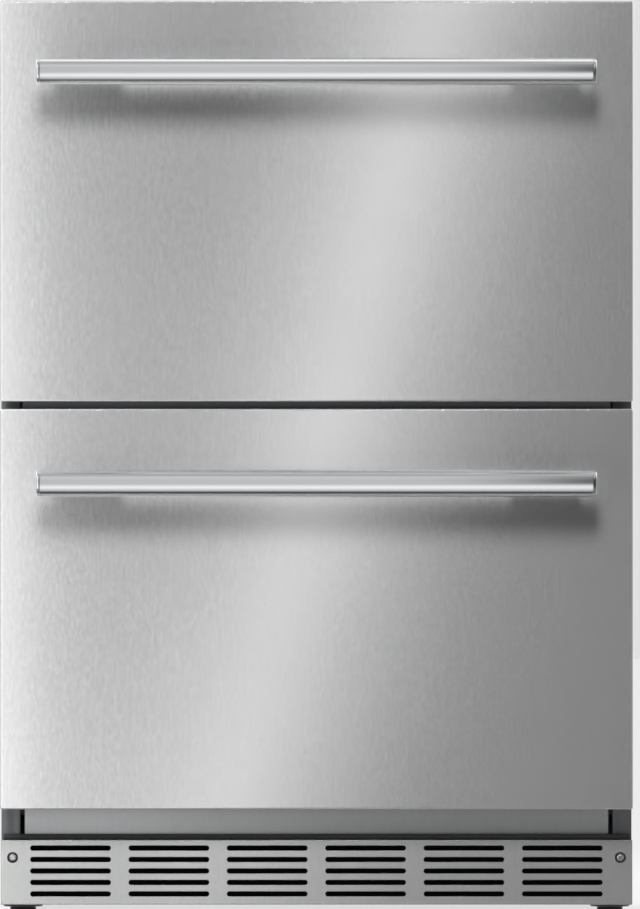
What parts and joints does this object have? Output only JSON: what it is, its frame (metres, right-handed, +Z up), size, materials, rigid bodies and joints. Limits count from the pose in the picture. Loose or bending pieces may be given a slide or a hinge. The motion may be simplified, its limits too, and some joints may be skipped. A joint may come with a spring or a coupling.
{
  "type": "undercounter drawer refrigerator",
  "caption": "Undercounter refrigerator with two stacked stainless drawers on telescopic slides, tubular bar handles, a slotted toe grille and levelling legs.",
  "frame": {"origin": "centre of the footprint, on the floor under the levelling legs' pads", "axes": "+X to the right of someone facing the drawers, +Y to the back, +Z up; the drawers open towards -Y"},
  "size_m": [0.606, 0.6658, 0.876],
  "materials": {
    "brushed_steel": "vertical brushed grain, satin",
    "satin_bar": "fine satin polish",
    "rail_steel": "mill finish, satin",
    "zinc_sheet": "zinc-plated sheet",
    "dark_paint": "satin powder coat",
    "black_paint": "semi-gloss black",
    "black_plastic": "moulded, matt",
    "liner_plastic": "vacuum-formed, satin white",
    "bin_plastic": "moulded, satin pale grey",
    "seal_rubber": "soft, matt",
    "foam": "rigid insulating foam",
    "copper": "copper tube and fins",
    "lens": "frosted",
    "chrome": "polished"
  },
  "bodies": {
    "cabinet": {"outer_wrapper": "dark_paint", "back_panel": "zinc_sheet", "bottom_panel": "zinc_sheet", "foam_body": "foam", "inner_liner": "liner_plastic", "breaker_frame": "black_plastic", "centre_mullion": "dark_paint", "bottom_rail": "rail_steel", "base_pan": "black_paint", "toe_grille": "brushed_steel", "grille_screw_left": "chrome", "grille_screw_right": "chrome", "compressor": "black_paint", "drip_tray": "black_plastic", "condenser_coil": "copper", "condenser_fan_shroud": "black_plastic", "rear_cover": "zinc_sheet", "power_inlet": "black_plastic", "evaporator_cover": "liner_plastic", "evaporator_coil": "zinc_sheet", "control_housing": "black_plastic", "lamp_lens": "lens", "upper_slide_cabinet_right": "zinc_sheet", "upper_slide_cabinet_left": "zinc_sheet", "lower_slide_cabinet_right": "zinc_sheet", "lower_slide_cabinet_left": "zinc_sheet"},
    "upper_drawer": {"upper_front_skin": "brushed_steel", "upper_front_core": "liner_plastic", "upper_gasket": "seal_rubber", "upper_handle_bar": "satin_bar", "upper_handle_cap_right": "chrome", "upper_handle_cap_left": "chrome", "upper_handle_post_right": "satin_bar", "upper_handle_post_left": "satin_bar", "upper_bin": "bin_plastic", "upper_slide_drawer_right": "zinc_sheet", "upper_slide_drawer_left": "zinc_sheet"},
    "upper_middle_members": {"upper_slide_middle_right": "zinc_sheet", "upper_slide_middle_left": "zinc_sheet"},
    "lower_drawer": {"lower_front_skin": "brushed_steel", "lower_front_core": "liner_plastic", "lower_gasket": "seal_rubber", "lower_handle_bar": "satin_bar", "lower_handle_cap_right": "chrome", "lower_handle_cap_left": "chrome", "lower_handle_post_right": "satin_bar", "lower_handle_post_left": "satin_bar", "lower_bin": "bin_plastic", "lower_slide_drawer_right": "zinc_sheet", "lower_slide_drawer_left": "zinc_sheet"},
    "lower_middle_members": {"lower_slide_middle_right": "zinc_sheet", "lower_slide_middle_left": "zinc_sheet"},
    "front_left_leg": {"leg_front_left": "black_plastic"},
    "front_right_leg": {"leg_front_right": "black_plastic"},
    "rear_left_leg": {"leg_rear_left": "black_plastic"},
    "rear_right_leg": {"leg_rear_right": "black_plastic"},
    "bay_fan_rotor": {"condenser_fan": "black_plastic"},
    "cold_fan_rotor": {"evaporator_fan": "black_plastic"},
    "colder_button": {"button_colder": "bin_plastic"},
    "warmer_button": {"button_warmer": "bin_plastic"}
  },
  "joints": [
    {"name": "upper_drawer_slide", "type": "slide", "parent": "cabinet", "child": "upper_drawer", "axis": [0, -1, 0], "range_m": [0, 0.42]},
    {"name": "upper_middle_slide", "type": "slide", "parent": "cabinet", "child": "upper_middle_members", "axis": [0, -1, 0], "range_m": [0, 0.21]},
    {"name": "lower_drawer_slide", "type": "slide", "parent": "cabinet", "child": "lower_drawer", "axis": [0, -1, 0], "range_m": [0, 0.42]},
    {"name": "lower_middle_slide", "type": "slide", "parent": "cabinet", "child": "lower_middle_members", "axis": [0, -1, 0], "range_m": [0, 0.21]},
    {"name": "front_left_leg_height", "type": "slide", "parent": "cabinet", "child": "front_left_leg", "axis": [0, 0, -1], "range_m": [0, 0.025]},
    {"name": "front_right_leg_height", "type": "slide", "parent": "cabinet", "child": "front_right_leg", "axis": [0, 0, -1], "range_m": [0, 0.025]},
    {"name": "rear_left_leg_height", "type": "slide", "parent": "cabinet", "child": "rear_left_leg", "axis": [0, 0, -1], "range_m": [0, 0.025]},
    {"name": "rear_right_leg_height", "type": "slide", "parent": "cabinet", "child": "rear_right_leg", "axis": [0, 0, -1], "range_m": [0, 0.025]},
    {"name": "condenser_fan_spin", "type": "hinge", "parent": "cabinet", "child": "bay_fan_rotor", "pos_m": [0.12, 0.22885, 0.0908], "axis": [1, 0, 0], "continuous": true},
    {"name": "evaporator_fan_spin", "type": "hinge", "parent": "cabinet", "child": "cold_fan_rotor", "pos_m": [0, 0.24535, 0.73], "axis": [0, 1, 0], "continuous": true},
    {"name": "colder_button_press", "type": "slide", "parent": "cabinet", "child": "colder_button", "axis": [0, 1, 0], "range_m": [0, 0.001], "stiffness_N_per_m": 400},
    {"name": "warmer_button_press", "type": "slide", "parent": "cabinet", "child": "warmer_button", "axis": [0, 1, 0], "range_m": [0, 0.001], "stiffness_N_per_m": 400}
  ],
  "couplings": [
    {"joint": "upper_middle_slide", "follows": "upper_drawer_slide", "ratio": 0.5},
    {"joint": "lower_middle_slide", "follows": "lower_drawer_slide", "ratio": 0.5}
  ]
}
